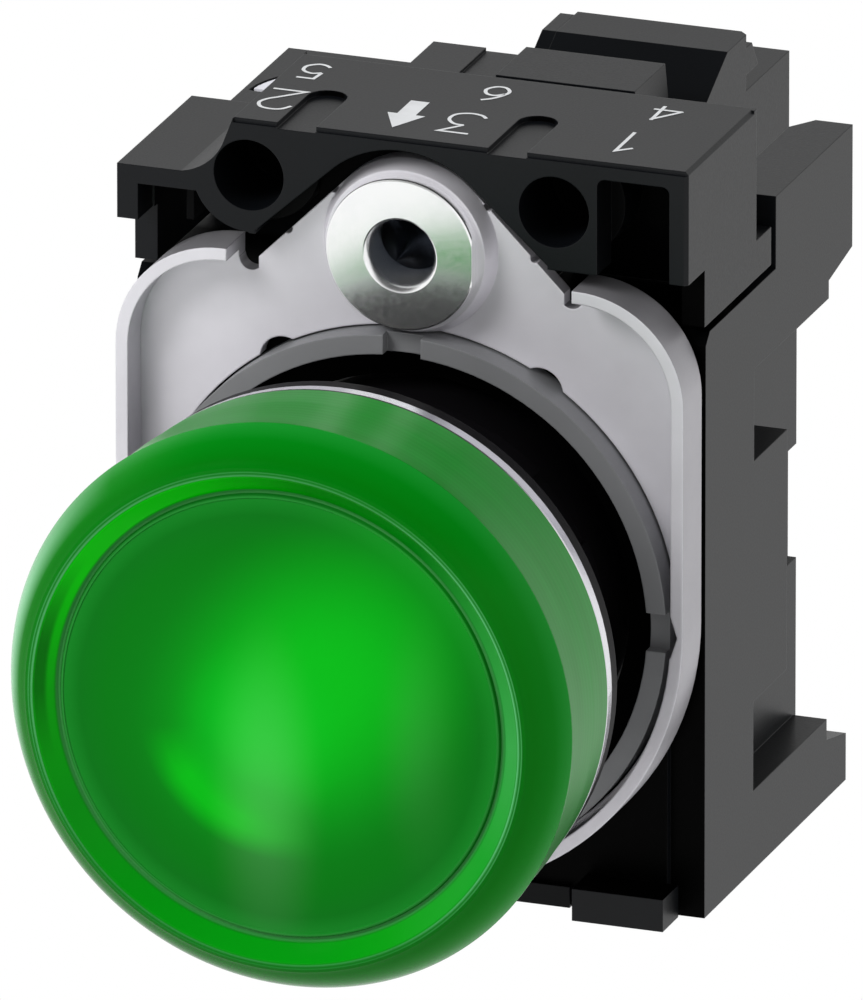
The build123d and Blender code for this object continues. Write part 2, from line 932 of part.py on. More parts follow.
def terminal_z(side):
    """Height of a terminal screw's axis; side is 1 for the upper and -1 for the lower one."""
    reach = module_top - module_centre_z - terminal_drop
    return module_centre_z + side * reach


def both_terminals(shape):
    """A shape drawn for the upper terminal and its mirror image at the lower one."""
    return shape + mirror(shape, about=Plane.XY.offset(module_centre_z))


def module_side(crest_end):
    """The module's outline from the side as (y, z), with both terminal crests."""
    upper = [
        (module_front, module_bay_top),
        (module_low_front, module_bay_top),
        (module_low_front, module_top),
        (crest_foot_y, module_top),
        (crest_front, crest_top),
        (crest_end, crest_top),
        (crest_back_y, crest_back_z),
        (crest_back_y, module_top),
        (module_rear, module_top),
    ]
    low_z = 2 * module_centre_z
    lower = [(y, low_z - z) for y, z in reversed(upper[2:])]
    lower += [(module_low_front, module_bay_bottom), (module_front, module_bay_bottom)]
    return outline(upper + lower)


def module_lugs():
    """Raised lug in front of each terminal."""
    lug = outline(
        [
            (lug_front, module_top),
            (lug_front, lug_top),
            (lug_rear, lug_top),
            (lug_foot_y, lug_foot_z),
            (lug_foot_y, module_top),
        ]
    )
    return both_terminals(face_yz(lug, -lug_half_w, lug_half_w))


def make_module_housing():
    """Moulded housing, open on its left side, with terminal chambers, mouths and driver holes."""
    housing = face_yz(module_side(crest_rear), -module_half_w + side_cover_t, module_half_w) + module_lugs()
    housing -= box(
        -module_half_w,
        module_half_w - module_wall,
        module_front + module_wall,
        chamber_front - module_wall,
        module_bay_bottom + module_wall,
        module_bay_top - module_wall,
    )
    z = terminal_z(1)
    chamber = box(
        -chamber_half_w, chamber_half_w, chamber_front, chamber_rear, module_top - chamber_depth, module_top - 1.2
    )
    mouth = box(
        -chamber_half_w, chamber_half_w, mouth_front, mouth_rear, module_top - 2, lug_top + 1
    )
    corner = outline(
        [
            (module_half_w - crest_corner, crest_rear),
            (module_half_w, crest_rear - crest_corner),
            (module_half_w + 1, crest_rear - crest_corner),
            (module_half_w + 1, crest_rear + 1),
            (module_half_w - crest_corner, crest_rear + 1),
        ]
    )
    corner = extrude(Plane.XY.offset(crest_corner_z) * corner, amount=crest_top)
    notch = box(
        module_half_w - crest_notch_depth,
        module_half_w + 1,
        crest_notch_front,
        crest_back_y + 1,
        module_top,
        crest_notch_top,
    )
    driver_hole = rod(terminal_hole_r, chamber_rear - 1, module_rear + 1, 0, z)
    screw_room = rod(terminal_screw_r + 0.3, terminal_tip - terminal_travel - 0.8, chamber_front, 0, z)
    housing -= both_terminals(chamber + mouth + driver_hole + screw_room + contact_tail(tail_fit))
    housing -= both_terminals(corner + notch)
    housing -= rod(lamp_r + 0.2, nose_front - 1, module_front + module_wall + 1)
    housing += rod(nose_r, nose_front, module_front) - rod(lamp_flange_r + 0.1, nose_front, module_front)
    return housing


def make_module_side_cover():
    """Flat lid over the housing's open left side."""
    return face_yz(module_side(crest_rear - crest_cover_short), -module_half_w, -module_half_w + side_cover_t)


def make_circuit_board():
    return box(board_x - board_t / 2, board_x + board_t / 2, board_front, board_rear, board_bottom, board_top)


def contact_tail(fit):
    """The strip that joins a terminal's bar to the board, grown by a fit on every side."""
    x0 = board_x + board_t / 2
    z0 = terminal_z(1) - bar_down
    return box(
        x0 - fit, x0 + tail_t + fit, tail_front - fit, bar_front + fit, z0 - fit, z0 + tail_h + fit
    )


def make_contact_bar(side):
    """Threaded bar of a terminal with a tail that reaches the board."""
    z = terminal_z(1)
    plate = box(-bar_half_w, bar_half_w, bar_front, bar_front + bar_t, z - bar_down, z + bar_up)
    plate -= rod(terminal_screw_r + terminal_fit, bar_front - 1, bar_front + bar_t + 1, 0, z)
    plate += contact_tail(0)
    if side < 0:
        plate = mirror(plate, about=Plane.XY.offset(module_centre_z))
    return plate


def make_saddle(side):
    """Clamping saddle with turned-over lips that travels with its screw."""
    z = terminal_z(1)
    plate = box(-saddle_half_w, saddle_half_w, saddle_y, saddle_y + saddle_t, z - saddle_half_h, z + saddle_half_h)
    for x in (-saddle_half_w, saddle_half_w - saddle_lip):
        plate += box(x, x + saddle_lip, saddle_y - saddle_lip, saddle_y, z - saddle_half_h, z + saddle_half_h)
    plate -= rod(terminal_screw_r + terminal_fit, saddle_y - 1, saddle_y + saddle_t + 1, 0, z)
    return plate if side > 0 else mirror(plate, about=Plane.XY.offset(module_centre_z))


def make_terminal_screw(side):
    """Cheese-head screw with a driver slot."""
    z = terminal_z(side)
    head_y = saddle_y + saddle_t + saddle_gap
    screw = rod(terminal_screw_r, terminal_tip, head_y, 0, z)
    screw += rod(terminal_head_r, head_y, head_y + terminal_head_len, 0, z)
    slot_front = head_y + terminal_head_len - terminal_slot_depth
    screw -= box(
        -terminal_head_r,
        terminal_head_r,
        slot_front,
        head_y + terminal_head_len,
        z - terminal_slot_w / 2,
        z + terminal_slot_w / 2,
    )
    return screw


def make_lamp():
    """Lamp with a round-nosed clear body and a flange that seats in the module's nose."""
    barrel_front = lamp_base_y - lamp_length + lamp_r
    nose = []
    for index in range(lamp_nose_bands + 1):
        turn = math.pi / 2 * index / lamp_nose_bands
        nose.append((lamp_r * math.sin(turn), barrel_front - lamp_r * math.cos(turn)))
    base = lamp_base_y + lamp_flange_t
    return turned(
        nose + [(lamp_r, lamp_base_y), (lamp_flange_r, lamp_base_y), (lamp_flange_r, base), (0, base)]
    )


def make_resistors():
    dx, dy, dz = resistor_size
    x0 = board_x + board_t / 2
    chips = []
    for index in range(resistor_count):
        y0 = resistor_y + index * resistor_step
        chips.append(box(x0, x0 + dz, y0, y0 + dx, resistor_z, resistor_z + dy))
    return Compound(children=chips)


def save(shape, name):
    """Write one sub-part as a STEP file."""
    export_step(shape, f"parts/{name}.step")


def main():
    os.makedirs("parts", exist_ok=True)
    save(make_lens(), "lens")
    save(make_light_spreader(), "light_spreader")
    save(make_lens_seal(), "lens_seal")
    save(make_trim_ring(), "trim_ring")
    save(make_front_collar(), "front_collar")
    save(make_panel_gasket(), "panel_gasket")
    save(make_locking_ring(), "locking_ring")
    save(make_retaining_clip(), "retaining_clip")
    save(make_clamp_plate(), "clamp_plate")
    save(make_clamp_bush(), "clamp_bush")
    save(make_clamp_screw(), "clamp_screw")
    save(make_screw_keeper(), "screw_keeper")
    save(make_holder_cover(), "holder_cover")
    save(make_holder_body(), "holder_body")
    save(make_latch_spring(), "latch_spring_left")
    save(make_module_housing(), "module_housing")
    save(make_module_side_cover(), "module_side_cover")
    save(make_circuit_board(), "circuit_board")
    save(make_lamp(), "lamp")
    save(make_resistors(), "resistors")
    for name, side in (("upper", 1), ("lower", -1)):
        save(make_contact_bar(side), f"contact_bar_{name}")
        save(make_saddle(side), f"saddle_{name}")
        save(make_terminal_screw(side), f"terminal_screw_{name}")


main()
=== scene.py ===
import json
import math

import bmesh
import bpy
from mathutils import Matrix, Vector


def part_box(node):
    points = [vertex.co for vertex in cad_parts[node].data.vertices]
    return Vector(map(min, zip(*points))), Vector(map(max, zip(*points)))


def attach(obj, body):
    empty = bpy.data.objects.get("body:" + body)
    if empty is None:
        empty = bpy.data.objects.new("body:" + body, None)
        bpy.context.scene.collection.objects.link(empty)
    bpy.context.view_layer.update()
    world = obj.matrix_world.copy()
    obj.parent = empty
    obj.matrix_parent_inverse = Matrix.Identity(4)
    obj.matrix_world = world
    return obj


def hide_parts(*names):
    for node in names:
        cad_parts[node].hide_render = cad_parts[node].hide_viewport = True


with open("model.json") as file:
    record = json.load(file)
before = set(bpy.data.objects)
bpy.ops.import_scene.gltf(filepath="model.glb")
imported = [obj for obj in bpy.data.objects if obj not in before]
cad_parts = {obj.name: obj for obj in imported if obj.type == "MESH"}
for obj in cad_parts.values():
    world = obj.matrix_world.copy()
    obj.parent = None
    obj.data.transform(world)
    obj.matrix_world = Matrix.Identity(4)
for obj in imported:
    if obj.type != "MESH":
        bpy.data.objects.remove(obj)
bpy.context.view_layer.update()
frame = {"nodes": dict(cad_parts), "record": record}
nodes = frame["nodes"]
scene = bpy.context.scene
MM = 0.001

# The photograph's camera: a long lens 20 degrees to the right and 20 degrees above
AZIMUTH = math.radians(20)
ELEVATION = math.radians(20)
LENS_MM = 1480.0
PX_PER_M = 20200.0
LONG_SIDE_PX = 1000.0
SENSOR_MM = 36.0
OFFSET_RIGHT = 4.045 * MM
OFFSET_UP = 7.43 * MM
CLIP_RANGE = (0.05, 20.0)

# Grain of the materials: its size, its depth and the radius of a softened edge, in millimetres
PLASTIC_GRAIN = 0.1
PLASTIC_DEPTH = 0.009
PLASTIC_EDGE = 0.07
METAL_GRAIN = 0.2
LENS_GRAIN = 0.18
EDGE_SAMPLES = 6

# Slight cloudiness: noise scales, and how far the plastics' colour drifts
PLASTIC_CLOUD = 180.0
METAL_CLOUD = 220.0
LENS_CLOUD = 140.0
WALL_CLOUD = 90.0
INK_CLOUD = 900.0
PLASTIC_SPREAD = 0.12

# Places between which painted shade fades, in millimetres
RECESS_START = (9.2, 9.6)
RECESS_END = (16.6, 17.4)
SIDE_LAYER = (-13.8, -13.7)
POCKET_TOP = (15.2, 15.6)
PLATE_CORNER = (6.5, 8.0)
PLATE_OUTER = (12.9, 13.9)
LENS_UNDER_SHADE = (-3, -10)

# Lens cap, in millimetres: radii from the light axis, lengths along it and the pitch of the turned grooves
FULL_R = 15.0
RIDGE_R = 12.85
WINDOW_R = 11.55
WINDOW_RISE = 0.42
WINDOW_STEPS = 12
BEVEL_STEPS = 14
LENS_WALL = 6.3
GROOVE_PITCH = 0.42
LENS_SEGMENTS = 192
LENS_SHARP = 14

# Clamp bush, in millimetres: its flange's depth, its bore and where the screw's axis meets the bush's
BUSH_FLANGE = 0.5
BUSH_BORE = 1.9
BUSH_CROSSING = 0.4
BUSH_SEGMENTS = 128
BUSH_SHARP = 18

# Latch leaf and pocket wall, in millimetres
LEAF_LIFT = 0.2
LEAF_DEPTH = 0.4
WALL_X = (5.4, 13.2)
WALL_Y = (16.9, 17.35)
WALL_TOP = 4.3
WALL_FOOT = -0.45
WALL_ROUND = 0.3

# White marks on the cover, in millimetres
MARK_STROKE = 0.19
MARK_LIFT = 0.012
MARK_STEP = 0.004
BIG_MARK = (1.75, 2.9)
SMALL_MARK = (1.25, 2.1)
FOUR_MARK = (1.5, 2.11)
ARROW_TIP = (-0.97, 8.8)
ARROW_HEAD = (1.0, 2.07)
ARROW_STEM = (0.49, 4.09)

# Stage and lights: levels by height from the nadir to the zenith, lengths in metres, lamps in watts
FLOOR_Z = -0.06
FLOOR_HALF = 1.5
SKY_STRENGTH = 0.6
SKY = ((0.0, 0.4), (0.5, 0.8), (1.0, 1.0))
CEILING = ((0.0, 1.0), (0.72, 1.0), (0.86, 0.12), (1.0, 0.05))
LAMP_TARGET = (0, 0.01, 0)
LAMP_SIZE = 0.35
KEY_PLACE = (-0.4, -0.45, 0.5)
KEY_WATTS = 4.3
RIGHT_PLACE = (0.65, 0.0, 0.15)
RIGHT_WATTS = 0.4


def make_camera():
    back = Vector(
        (
            math.sin(AZIMUTH) * math.cos(ELEVATION),
            -math.cos(AZIMUTH) * math.cos(ELEVATION),
            math.sin(ELEVATION),
        )
    )
    right = Vector((math.cos(AZIMUTH), math.sin(AZIMUTH), 0))
    up = back.cross(right)
    distance = LENS_MM / SENSOR_MM * LONG_SIDE_PX / PX_PER_M
    data = bpy.data.cameras.new("camera")
    data.lens = LENS_MM
    data.sensor_width = SENSOR_MM
    data.clip_start, data.clip_end = CLIP_RANGE
    camera = bpy.data.objects.new("camera", data)
    scene.collection.objects.link(camera)
    camera.location = right * OFFSET_RIGHT + up * OFFSET_UP + back * distance
    camera.rotation_mode = "QUATERNION"
    camera.rotation_quaternion = back.to_track_quat("Z", "Y")
    scene.camera = camera


def srgb(*values):
    """A colour as a screen shows it, 0 to 255, in the renderer's linear values."""
    linear = []
    for value in values:
        share = value / 255
        linear.append(share / 12.92 if share <= 0.04045 else ((share + 0.055) / 1.055) ** 2.4)
    return tuple(linear)


def greys(*levels):
    """Grey stops for a ramp from (position, level) pairs."""
    return tuple((position, (level, level, level)) for position, level in levels)


# Materials
class Nodes:
    """Short names for building the node tree of a material or a world."""

    def __init__(self, owner):
        owner.use_nodes = True
        self.mat = owner
        self.tree = owner.node_tree
        self.shader = self.tree.nodes.get("Principled BSDF")

    def add(self, kind, **values):
        node = self.tree.nodes.new(kind)
        for key, value in values.items():
            if key in node.inputs:
                node.inputs[key].default_value = value
            else:
                setattr(node, key, value)
        return node

    def link(self, out, into):
        self.tree.links.new(out, into)

    def coords(self):
        return self.add("ShaderNodeTexCoord").outputs["Object"]

    def split(self, vector):
        node = self.add("ShaderNodeSeparateXYZ")
        self.link(vector, node.inputs["Vector"])
        return node.outputs["X"], node.outputs["Y"], node.outputs["Z"]

    def place(self):
        """The separate coordinates of a point on the object."""
        return self.split(self.coords())

    def facing(self):
        """The separate parts of the surface's own direction."""
        return self.split(self.add("ShaderNodeTexCoord").outputs["Normal"])

    def clouded(self, cloud, low, high):
        """A base colour that drifts between two colours."""
        self.link(self.ramp(cloud, ((0.3, low), (0.7, high))), self.shader.inputs["Base Color"])

    def recolour(self, share, colour):
        """Blend the base colour that is there towards another one."""
        plain = self.shader.inputs["Base Color"].links[0].from_socket
        self.link(self.mix(share, plain, colour), self.shader.inputs["Base Color"])

    def noise(self, scale, detail, stretch=(1, 1, 1)):
        mapping = self.add("ShaderNodeMapping")
        mapping.inputs["Scale"].default_value = stretch
        self.link(self.coords(), mapping.inputs["Vector"])
        noise = self.add("ShaderNodeTexNoise", Scale=scale, Detail=detail)
        self.link(mapping.outputs["Vector"], noise.inputs["Vector"])
        return noise.outputs["Fac"]

    def ramp(self, value, stops):
        """A colour ramp from (position, colour) pairs."""
        ramp = self.add("ShaderNodeValToRGB")
        elements = ramp.color_ramp.elements
        while len(elements) < len(stops):
            elements.new(0.5)
        for element, (position, colour) in zip(elements, stops):
            element.position = position
            element.color = (*colour, 1)
        self.link(value, ramp.inputs["Fac"])
        return ramp.outputs["Color"]

    def span(self, value, low, high, start=0.0, end=1.0):
        span = self.add("ShaderNodeMapRange")
        span.inputs["From Min"].default_value = start
        span.inputs["From Max"].default_value = end
        span.inputs["To Min"].default_value = low
        span.inputs["To Max"].default_value = high
        self.link(value, span.inputs["Value"])
        return span.outputs["Result"]

    def between(self, value, places, low=0.0, high=1.0):
        """From one level to another between two places in millimetres."""
        start, end = places
        return self.span(value, low, high, start * MM, end * MM)

    def math(self, kind, *values):
        node = self.add("ShaderNodeMath", operation=kind)
        for socket, value in zip(node.inputs, values):
            if isinstance(value, (int, float)):
                socket.default_value = value
            else:
                self.link(value, socket)
        return node.outputs[0]

    def mix(self, share, first, second, kind="MIX"):
        node = self.add("ShaderNodeMix", data_type="RGBA", blend_type=kind)
        self.link(share, node.inputs["Factor"])
        for socket, value in ((node.inputs[6], first), (node.inputs[7], second)):
            if isinstance(value, tuple):
                socket.default_value = (*value, 1)
            else:
                self.link(value, socket)
        return node.outputs[2]

    def surface(self, grain, depth, strength, edge=0.0):
        """A bump from the grain, over edges that are softened where a radius is given."""
        bump = self.add("ShaderNodeBump", Strength=strength, Distance=depth)
        self.link(grain, bump.inputs["Height"])
        if edge > 0:
            bevel = self.add("ShaderNodeBevel", samples=EDGE_SAMPLES)
            bevel.inputs["Radius"].default_value = edge
            self.link(bevel.outputs["Normal"], bump.inputs["Normal"])
        self.link(bump.outputs["Normal"], self.shader.inputs["Normal"])


def new_look(name):
    return Nodes(bpy.data.materials.new(name))


def moulded(name, colour, rough, gloss=0.5):
    """Moulded plastic: fine spark-eroded grain, slight cloudiness and soft edges."""
    m = new_look(name)
    m.shader.inputs["Specular IOR Level"].default_value = gloss
    low = tuple(c * (1 - PLASTIC_SPREAD) for c in colour)
    high = tuple(c * (1 + PLASTIC_SPREAD) for c in colour)
    m.clouded(m.noise(PLASTIC_CLOUD, 3.0), low, high)
    grain = m.noise(1.0 / (PLASTIC_GRAIN * MM), 2.0)
    m.link(m.span(grain, rough - 0.06, rough + 0.06), m.shader.inputs["Roughness"])
    m.surface(grain, PLASTIC_DEPTH * MM, 0.6, PLASTIC_EDGE * MM)
    return m.mat


def holder_plastic(name, colour, rough, gloss):
    """The holder's plastic, with painted shade on its recessed front and in the pocket under the cover."""
    m = Nodes(moulded(name, colour, rough, gloss))
    x, y, z = m.place()
    _, ahead, up = m.facing()
    front = m.span(ahead, 1.0, 0.0, -0.85, -0.6)
    behind = m.between(y, RECESS_START)
    near = m.between(y, RECESS_END, 1.0, 0.0)
    inward = m.between(x, SIDE_LAYER)
    upward = m.span(up, 0.0, 1.0, 0.6, 0.85)
    low = m.between(z, POCKET_TOP, 1.0, 0.0)
    # Painted shade: the recessed front and the pocket under the cover turn near-black with weaker gloss
    recess = m.math("MULTIPLY", m.math("MULTIPLY", front, behind), m.math("MULTIPLY", near, inward))
    pocket = m.math("MULTIPLY", m.math("MULTIPLY", upward, low), near)
    shade = m.math("MINIMUM", m.math("ADD", recess, pocket), 1.0)
    m.link(m.span(shade, gloss, gloss * 0.12), m.shader.inputs["Specular IOR Level"])
    m.recolour(shade, srgb(3, 3, 3))
    return m.mat


def metal(name, colour, rough, depth_mm=0.004, edge_mm=0.08, share=1.0):
    """Plated, painted or brushed metal with a fine grain."""
    m = new_look(name)
    low = tuple(c * 0.93 for c in colour)
    high = tuple(min(1.0, c * 1.05) for c in colour)
    m.clouded(m.noise(METAL_CLOUD, 3.0), low, high)
    m.shader.inputs["Metallic"].default_value = share
    grain = m.noise(1.0 / (METAL_GRAIN * MM), 3.0)
    m.link(m.span(grain, rough - 0.05, rough + 0.08), m.shader.inputs["Roughness"])
    m.surface(grain, depth_mm * MM, 0.5, edge_mm * MM)
    return m.mat


def plate_metal():
    """The clamp plate's pale lacquer, with painted shade on the rim's upper and right-hand outer walls."""
    m = Nodes(metal("plate_metal", srgb(229, 227, 233), 0.42, edge_mm=0.12, share=0.42))
    m.shader.inputs["Specular IOR Level"].default_value = 0.25
    x, _, _ = m.place()
    right, _, up = m.facing()
    # Painted shade on upward-facing faces away from the plate's middle and on right-facing outer faces
    corner = m.between(m.math("ABSOLUTE", x), PLATE_CORNER)
    upper_shade = m.math("MULTIPLY", corner, m.span(up, 0.0, 0.62, 0.1, 0.9))
    m.recolour(upper_shade, srgb(30, 30, 32))
    outer = m.between(x, PLATE_OUTER)
    side_shade = m.math("MULTIPLY", outer, m.span(right, 0.0, 0.45, 0.3, 0.95))
    m.recolour(side_shade, srgb(60, 60, 62))
    return m.mat


def lens_parts(name, rough):
    """The start of a lens material, with the share of the full radius and the turn from -X as a share."""
    m = new_look(name)
    x, _, z = m.place()
    radius = m.math("SQRT", m.math("ADD", m.math("MULTIPLY", x, x), m.math("MULTIPLY", z, z)))
    share = m.math("DIVIDE", radius, FULL_R * MM)
    turn = m.span(m.math("ARCTAN2", z, x), 0.0, 1.0, -math.pi, math.pi)
    m.shader.inputs["Roughness"].default_value = rough
    m.shader.inputs["Specular IOR Level"].default_value = 0.06
    return m, share, turn


def finish_lens(m, colour, deep, depth_mm):
    """Slight cloudiness and a fine grain over a lens colour."""
    cloud = m.noise(LENS_CLOUD, 3.0)
    m.link(m.mix(m.span(cloud, 0.0, 0.1), colour, deep), m.shader.inputs["Base Color"])
    grain = m.noise(1.0 / (LENS_GRAIN * MM), 2.0)
    m.surface(grain, depth_mm * MM, 0.4)
    return m.mat


def painted_glow(m, centre, size, slant=0.0, inner=0.0):
    """A soft spot of painted light on the window, from one at its middle to nothing at its size in
    millimetres.
    """
    mapping = m.add("ShaderNodeMapping", vector_type="TEXTURE")
    mapping.inputs["Location"].default_value = (centre[0] * MM, 0, centre[1] * MM)
    mapping.inputs["Rotation"].default_value = (0, -math.radians(slant), 0)
    mapping.inputs["Scale"].default_value = (size[0] * MM, 1000, size[1] * MM)
    m.link(m.coords(), mapping.inputs["Vector"])
    length = m.add("ShaderNodeVectorMath", operation="LENGTH")
    m.link(mapping.outputs["Vector"], length.inputs[0])
    fade = m.add("ShaderNodeMapRange", interpolation_type="SMOOTHSTEP")
    fade.inputs["From Min"].default_value = inner
    fade.inputs["From Max"].default_value = 1.0
    fade.inputs["To Min"].default_value = 1.0
    fade.inputs["To Max"].default_value = 0.0
    m.link(length.outputs["Value"], fade.inputs["Value"])
    return fade.outputs["Result"]


def lens_window():
    """The lens's dished window, with painted light gathered in the middle, in a lobe and in a crescent,
    and two painted highlights.
    """
    m, share, turn = lens_parts("lens_window", 0.2)
    # Green that darkens towards the window's edge as painted shade, with a thin painted highlight line at
    # the edge
    edge = m.ramp(
        share,
        (
            (0.0, srgb(2, 138, 22)),
            (0.6, srgb(0, 117, 14)),
            (0.7, srgb(4, 112, 20)),
            (0.757, srgb(18, 128, 34)),
            (0.762, srgb(40, 132, 52)),
            (0.767, srgb(18, 112, 30)),
        ),
    )
    # Painted light: a broad lobe on the upper right, a crescent on the lower left and a spot near the
    # middle
    colour = m.mix(painted_glow(m, (2.1, 1.9), (11.8, 8.6), 46, 0.1), edge, srgb(0, 187, 20))
    crescent = m.ramp(share, greys((0.26, 0), (0.38, 1), (0.42, 1), (0.5, 0)))
    reach = m.ramp(turn, greys((0.03, 0), (0.1, 1), (0.2, 1), (0.3, 0)))
    colour = m.mix(m.math("MULTIPLY", crescent, m.math("MULTIPLY", reach, 0.8)), colour, srgb(0, 194, 16))
    colour = m.mix(painted_glow(m, (-1.0, -0.8), (5.0, 5.6)), colour, srgb(4, 192, 32))
    # Painted highlights added below the middle and on the right
    colour = m.mix(painted_glow(m, (-0.6, -4.2), (3.4, 10.5)), colour, srgb(56, 56, 58), "ADD")
    colour = m.mix(painted_glow(m, (7.4, -0.8), (2.6, 8.5)), colour, srgb(30, 30, 32), "ADD")
    return finish_lens(m, colour, srgb(2, 110, 12), 0.0012)


def lens_face():
    """The lens's bevel and ridge: deep green, with painted light: a bright slope inside the ridge on the
    upper left, painted highlight lines on the ridge and at the window's edge, painted shade on the slope's
    outer part on the left and a painted highlight on the outer bevel on the left.
    """
    m, share, turn = lens_parts("lens_bevel", 0.18)
    # Deep green zones, with a thin painted highlight line at the window's edge and a painted sheen towards
    # the outer edge
    zones = m.ramp(
        share,
        (
            (0.77, srgb(2, 96, 12)),
            (0.774, srgb(56, 136, 66)),
            (0.786, srgb(44, 132, 56)),
            (0.79, srgb(2, 100, 12)),
            (0.868, srgb(0, 112, 12)),
            (0.9, srgb(0, 112, 8)),
            (0.95, srgb(0, 124, 16)),
            (0.99, srgb(24, 146, 46)),
        ),
    )
    # Painted light on the slope inside the ridge, by turn: brightest on the upper left, paler on the right
    slope = m.ramp(
        turn,
        (
            (0.0, srgb(6, 168, 12)),
            (0.08, srgb(2, 142, 14)),
            (0.33, srgb(2, 150, 14)),
            (0.42, srgb(22, 150, 38)),
            (0.5, srgb(56, 158, 72)),
            (0.58, srgb(40, 146, 54)),
            (0.65, srgb(2, 118, 16)),
            (0.73, srgb(2, 134, 6)),
            (0.8, srgb(0, 190, 0)),
            (0.92, srgb(0, 214, 0)),
            (1.0, srgb(6, 168, 12)),
        ),
    )
    band = m.ramp(share, greys((0.787, 0), (0.791, 1), (0.846, 1), (0.85, 0)))
    colour = m.mix(band, zones, slope)
    # Painted shade on the slope's outer part on the left
    outward = m.ramp(share, greys((0.808, 0), (0.818, 1), (0.846, 1), (0.85, 0)))
    left = m.ramp(turn, greys((0.0, 1), (0.05, 0), (0.9, 0), (0.97, 1)))
    colour = m.mix(m.math("MULTIPLY", outward, left), colour, srgb(0, 122, 8))
    # Painted highlight lines along the ridge, stronger on the lit sides
    crest = m.ramp(
        share,
        greys(
            (0.8495, 0),
            (0.851, 1),
            (0.8545, 1),
            (0.856, 0),
            (0.8605, 0),
            (0.862, 0.5),
            (0.8645, 0.5),
            (0.866, 0),
        ),
    )
    lit = m.ramp(
        turn,
        greys(
            (0.0, 0.8),
            (0.12, 0.25),
            (0.33, 0.25),
            (0.45, 0.9),
            (0.6, 0.9),
            (0.68, 0.4),
            (0.85, 0.6),
            (0.95, 0.8),
        ),
    )
    colour = m.mix(m.math("MULTIPLY", crest, lit), colour, srgb(96, 190, 120))
    # Painted highlight on the outer bevel on the left
    rim = m.ramp(share, greys((0.91, 0), (0.955, 1)))
    side = m.ramp(turn, greys((0.0, 1), (0.09, 0), (0.86, 0), (0.95, 1)))
    colour = m.mix(m.math("MULTIPLY", rim, side), colour, srgb(132, 198, 148))
    return finish_lens(m, colour, srgb(0, 104, 8), 0.001)


def lens_wall():
    """The lens cap's side: paler green with fine turned grooves, and painted shade on its lower part."""
    m = new_look("lens_wall")
    _, y, z = m.place()
    turn = m.math("MULTIPLY", y, 2 * math.pi / (GROOVE_PITCH * MM))
    groove = m.span(m.math("SINE", turn), 0.0, 1.0, -1.0, 1.0)
    cloud = m.noise(WALL_CLOUD, 2.0, (1, 6, 1))
    colour = m.ramp(cloud, ((0.3, srgb(18, 134, 32)), (0.7, srgb(30, 146, 46))))
    # Painted shade on the lower part of the side wall
    colour = m.mix(m.between(z, LENS_UNDER_SHADE, 0.0, 0.85), colour, srgb(2, 84, 12))
    m.link(m.mix(m.span(groove, 0.0, 0.12), colour, srgb(4, 104, 14)), m.shader.inputs["Base Color"])
    m.shader.inputs["Roughness"].default_value = 0.32
    m.shader.inputs["Specular IOR Level"].default_value = 0.15
    m.surface(groove, 0.004 * MM, 0.3)
    return m.mat


def paint(name, colour, rough):
    """Thin printed ink with a faint unevenness."""
    m = new_look(name)
    low = tuple(c * 0.9 for c in colour)
    m.clouded(m.noise(INK_CLOUD, 2.0), low, colour)
    m.shader.inputs["Roughness"].default_value = rough
    return m.mat


def dress(node, material):
    obj = nodes[node]
    obj.data.materials.clear()
    obj.data.materials.append(material)


def dress_all():
    body = holder_plastic("body_plastic", srgb(12, 14, 17), 0.4, 0.205)
    cover = holder_plastic("cover_plastic", srgb(12, 14, 17), 0.4, 0.2)
    module = moulded("module_plastic", srgb(11, 13, 16), 0.4, 0.19)
    head = moulded("head_plastic", srgb(15, 14, 16), 0.4, 0.05)
    rubber = moulded("seal_rubber", srgb(10, 10, 10), 0.75, 0.1)
    plate = plate_metal()
    ring = metal("ring_metal", srgb(142, 143, 145), 0.5, share=0.4)
    zinc = metal("zinc_metal", srgb(236, 238, 240), 0.2)
    polished = metal("bush_metal", srgb(252, 253, 255), 0.2, depth_mm=0.0002, edge_mm=0.02, share=0.94)
    tip = metal("tip_metal", srgb(44, 48, 55), 0.16)
    screw = metal("screw_metal", srgb(170, 174, 173), 0.2)
    steel = metal("spring_metal", srgb(180, 180, 182), 0.3)
    trim = metal("trim_metal", srgb(225, 225, 230), 0.16)
    brass = metal("terminal_brass", srgb(205, 175, 110), 0.3)
    latch = moulded("latch_plastic", srgb(238, 238, 246), 0.5)
    board = moulded("board_lacquer", srgb(20, 90, 45), 0.35)
    chip = moulded("chip_black", srgb(22, 22, 22), 0.5)
    clear = moulded("lamp_clear", srgb(200, 235, 205), 0.1)
    spreader = moulded("spreader_milk", srgb(120, 210, 130), 0.4)
    looks = (
        (body, ("holder_body",)),
        (cover, ("holder_cover",)),
        (module, ("module_housing", "module_side_cover")),
        (head, ("front_collar",)),
        (rubber, ("panel_gasket", "lens_seal")),
        (plate, ("clamp_plate",)),
        (ring, ("locking_ring",)),
        (zinc, ("screw_keeper", "saddle_upper", "saddle_lower")),
        (polished, ("clamp_bush",)),
        (tip, ("clamp_screw",)),
        (screw, ("terminal_screw_upper", "terminal_screw_lower")),
        (steel, ("retaining_clip",)),
        (trim, ("trim_ring",)),
        (brass, ("contact_bar_upper", "contact_bar_lower")),
        (latch, ("latch_spring_left",)),
        (board, ("circuit_board",)),
        (chip, ("resistors",)),
        (clear, ("lamp",)),
        (spreader, ("light_spreader",)),
    )
    for material, names in looks:
        for name in names:
            dress(name, material)


